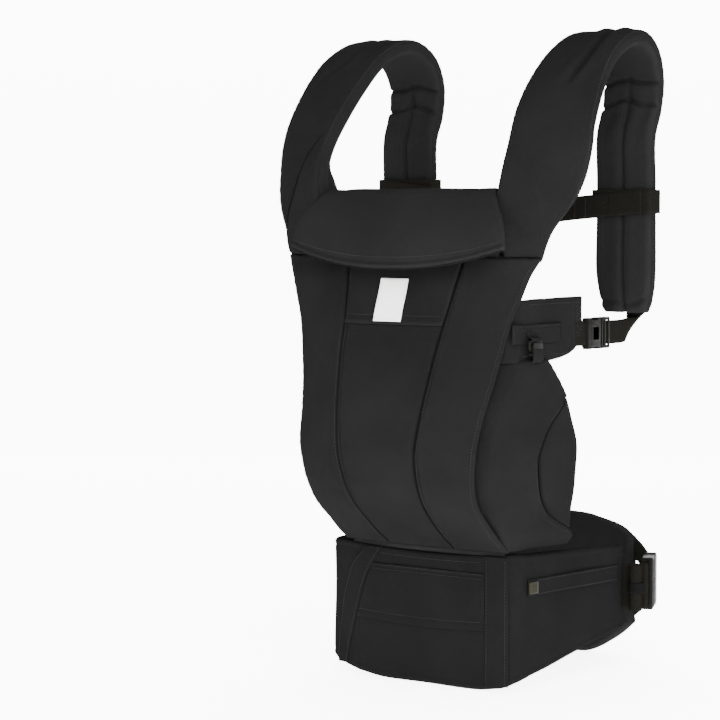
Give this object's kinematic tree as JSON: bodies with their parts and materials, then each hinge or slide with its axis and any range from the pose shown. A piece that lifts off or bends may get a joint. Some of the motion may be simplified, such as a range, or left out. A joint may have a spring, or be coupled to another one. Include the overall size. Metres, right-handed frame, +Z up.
{
  "type": "soft baby carrier",
  "caption": "Soft structured baby carrier: front panel with fold-down head support, padded shoulder straps, padded waist belt, side and chest straps with release buckles.",
  "frame": {"origin": "middle of the bounding box at floor level", "axes": "+Z up, -Y the front face of the carrier, +X the right side seen from the front"},
  "size_m": [0.397, 0.3734, 0.6862],
  "materials": {
    "shell_fabric": "matt woven cotton",
    "belt_fabric": "matt woven cotton",
    "webbing": "twill nylon webbing",
    "plastic": "moulded acetal, satin",
    "adjuster_tab": "moulded, satin",
    "label": "woven satin"
  },
  "bodies": {
    "carrier": {"adjuster_channel_left": "belt_fabric", "adjuster_channel_right": "belt_fabric", "belt_front": "belt_fabric", "belt_pocket_overlay": "belt_fabric", "belt_strip_left": "belt_fabric", "belt_strip_right": "belt_fabric", "belt_wing_left": "belt_fabric", "belt_wing_right": "belt_fabric", "body_panel_centre": "shell_fabric", "body_panel_side_left": "shell_fabric", "body_panel_side_right": "shell_fabric", "label_patch": "label", "leg_cuff_left": "shell_fabric", "leg_cuff_right": "shell_fabric", "leg_panel_left": "shell_fabric", "leg_panel_right": "shell_fabric", "leg_ring_left": "plastic", "leg_ring_right": "plastic", "lumbar_pad": "belt_fabric", "shoulder_strap_left": "shell_fabric", "shoulder_strap_right": "shell_fabric", "side_band_left": "shell_fabric", "side_band_right": "shell_fabric", "side_buckle_left_female": "plastic", "side_buckle_right_female": "plastic", "side_webbing_left": "webbing", "side_webbing_right": "webbing", "strap_gusset_left": "shell_fabric", "strap_gusset_right": "shell_fabric", "upper_overlay": "shell_fabric", "waist_buckle_female": "plastic", "waist_webbing": "webbing", "waist_yoke": "webbing", "webbing_keeper": "webbing", "webbing_roll": "webbing"},
    "head_support": {"head_support": "shell_fabric"},
    "waist_male": {"waist_buckle_male": "plastic"},
    "waist_arm_a": {"waist_buckle_arm_a": "plastic"},
    "waist_arm_b": {"waist_buckle_arm_b": "plastic"},
    "side_male_right": {"side_buckle_right_male": "plastic"},
    "side_arm_right_a": {"side_buckle_right_arm_a": "plastic"},
    "side_arm_right_b": {"side_buckle_right_arm_b": "plastic"},
    "side_male_left": {"side_buckle_left_male": "plastic"},
    "side_arm_left_a": {"side_buckle_left_arm_a": "plastic"},
    "side_arm_left_b": {"side_buckle_left_arm_b": "plastic"},
    "chest_strap": {"chest_loop_right": "webbing", "chest_loop_left": "webbing", "chest_webbing_right": "webbing", "chest_webbing_left": "webbing", "chest_buckle_female": "plastic"},
    "chest_male": {"chest_buckle_male": "plastic"},
    "chest_arm_a": {"chest_buckle_arm_a": "plastic"},
    "chest_arm_b": {"chest_buckle_arm_b": "plastic"},
    "leg_hook_right": {"leg_hook_right": "plastic"},
    "leg_hook_left": {"leg_hook_left": "plastic"},
    "seat_adjuster_right": {"seat_adjuster_right": "adjuster_tab"},
    "seat_adjuster_left": {"seat_adjuster_left": "adjuster_tab"}
  },
  "joints": [
    {"name": "head_support_fold", "type": "hinge", "parent": "carrier", "child": "head_support", "pos_m": [0, -0.11475, 0.5225], "axis": [-1, 0, 0], "range_deg": [0, 105]},
    {"name": "waist_release", "type": "slide", "parent": "carrier", "child": "waist_male", "axis": [0.45, -0.893, 0], "range_m": [0, 0.016]},
    {"name": "waist_latch_a", "type": "hinge", "parent": "waist_male", "child": "waist_arm_a", "pos_m": [0.12415, 0.14714, 0.116], "axis": [-0.893, -0.45, 0], "range_deg": [0, 14.7]},
    {"name": "waist_latch_b", "type": "hinge", "parent": "waist_male", "child": "waist_arm_b", "pos_m": [0.12415, 0.14714, 0.069], "axis": [0.893, 0.45, 0], "range_deg": [0, 14.7]},
    {"name": "side_release_right", "type": "slide", "parent": "carrier", "child": "side_male_right", "axis": [0, 1, 0], "range_m": [0, 0.014]},
    {"name": "side_latch_right_a", "type": "hinge", "parent": "side_male_right", "child": "side_arm_right_a", "pos_m": [0.1345, 0.02325, 0.3825], "axis": [1, 0, 0], "range_deg": [0, 12.05]},
    {"name": "side_latch_right_b", "type": "hinge", "parent": "side_male_right", "child": "side_arm_right_b", "pos_m": [0.1345, 0.02325, 0.3595], "axis": [-1, 0, 0], "range_deg": [0, 12.05]},
    {"name": "side_release_left", "type": "slide", "parent": "carrier", "child": "side_male_left", "axis": [0, 1, 0], "range_m": [0, 0.014]},
    {"name": "side_latch_left_a", "type": "hinge", "parent": "side_male_left", "child": "side_arm_left_a", "pos_m": [-0.1345, 0.02325, 0.3595], "axis": [-1, 0, 0], "range_deg": [0, 12.05]},
    {"name": "side_latch_left_b", "type": "hinge", "parent": "side_male_left", "child": "side_arm_left_b", "pos_m": [-0.1345, 0.02325, 0.3825], "axis": [1, 0, 0], "range_deg": [0, 12.05]},
    {"name": "chest_strap_height", "type": "slide", "parent": "carrier", "child": "chest_strap", "axis": [0, 0, 1], "range_m": [-0.035, 0.035]},
    {"name": "chest_release", "type": "slide", "parent": "chest_strap", "child": "chest_male", "axis": [1, 0, 0], "range_m": [0, 0.014]},
    {"name": "chest_latch_a", "type": "hinge", "parent": "chest_male", "child": "chest_arm_a", "pos_m": [-0.001, 0.04925, 0.5085], "axis": [0, -1, 0], "range_deg": [0, 12.05]},
    {"name": "chest_latch_b", "type": "hinge", "parent": "chest_male", "child": "chest_arm_b", "pos_m": [-0.001, 0.04925, 0.4855], "axis": [0, 1, 0], "range_deg": [0, 12.05]},
    {"name": "leg_hook_tip_right", "type": "hinge", "parent": "carrier", "child": "leg_hook_right", "pos_m": [0.1425, -0.09975, 0.3499], "axis": [0, 1, 0], "range_deg": [0, 60]},
    {"name": "leg_hook_tip_left", "type": "hinge", "parent": "carrier", "child": "leg_hook_left", "pos_m": [-0.1425, -0.09975, 0.3499], "axis": [0, -1, 0], "range_deg": [0, 60]},
    {"name": "seat_width_right", "type": "slide", "parent": "carrier", "child": "seat_adjuster_right", "axis": [0.0606, 0.9982, 0], "range_m": [0, 0.12]},
    {"name": "seat_width_left", "type": "slide", "parent": "carrier", "child": "seat_adjuster_left", "axis": [0.0093, 1, 0], "range_m": [0, 0.03]}
  ],
  "couplings": [
    {"joint": "waist_latch_a", "follows": "waist_release", "rad_per_m": 16},
    {"joint": "waist_latch_b", "follows": "waist_release", "rad_per_m": 16},
    {"joint": "side_latch_right_a", "follows": "side_release_right", "rad_per_m": 15},
    {"joint": "side_latch_right_b", "follows": "side_release_right", "rad_per_m": 15},
    {"joint": "side_latch_left_a", "follows": "side_release_left", "rad_per_m": 15},
    {"joint": "side_latch_left_b", "follows": "side_release_left", "rad_per_m": 15},
    {"joint": "chest_latch_a", "follows": "chest_release", "rad_per_m": 15},
    {"joint": "chest_latch_b", "follows": "chest_release", "rad_per_m": 15}
  ]
}
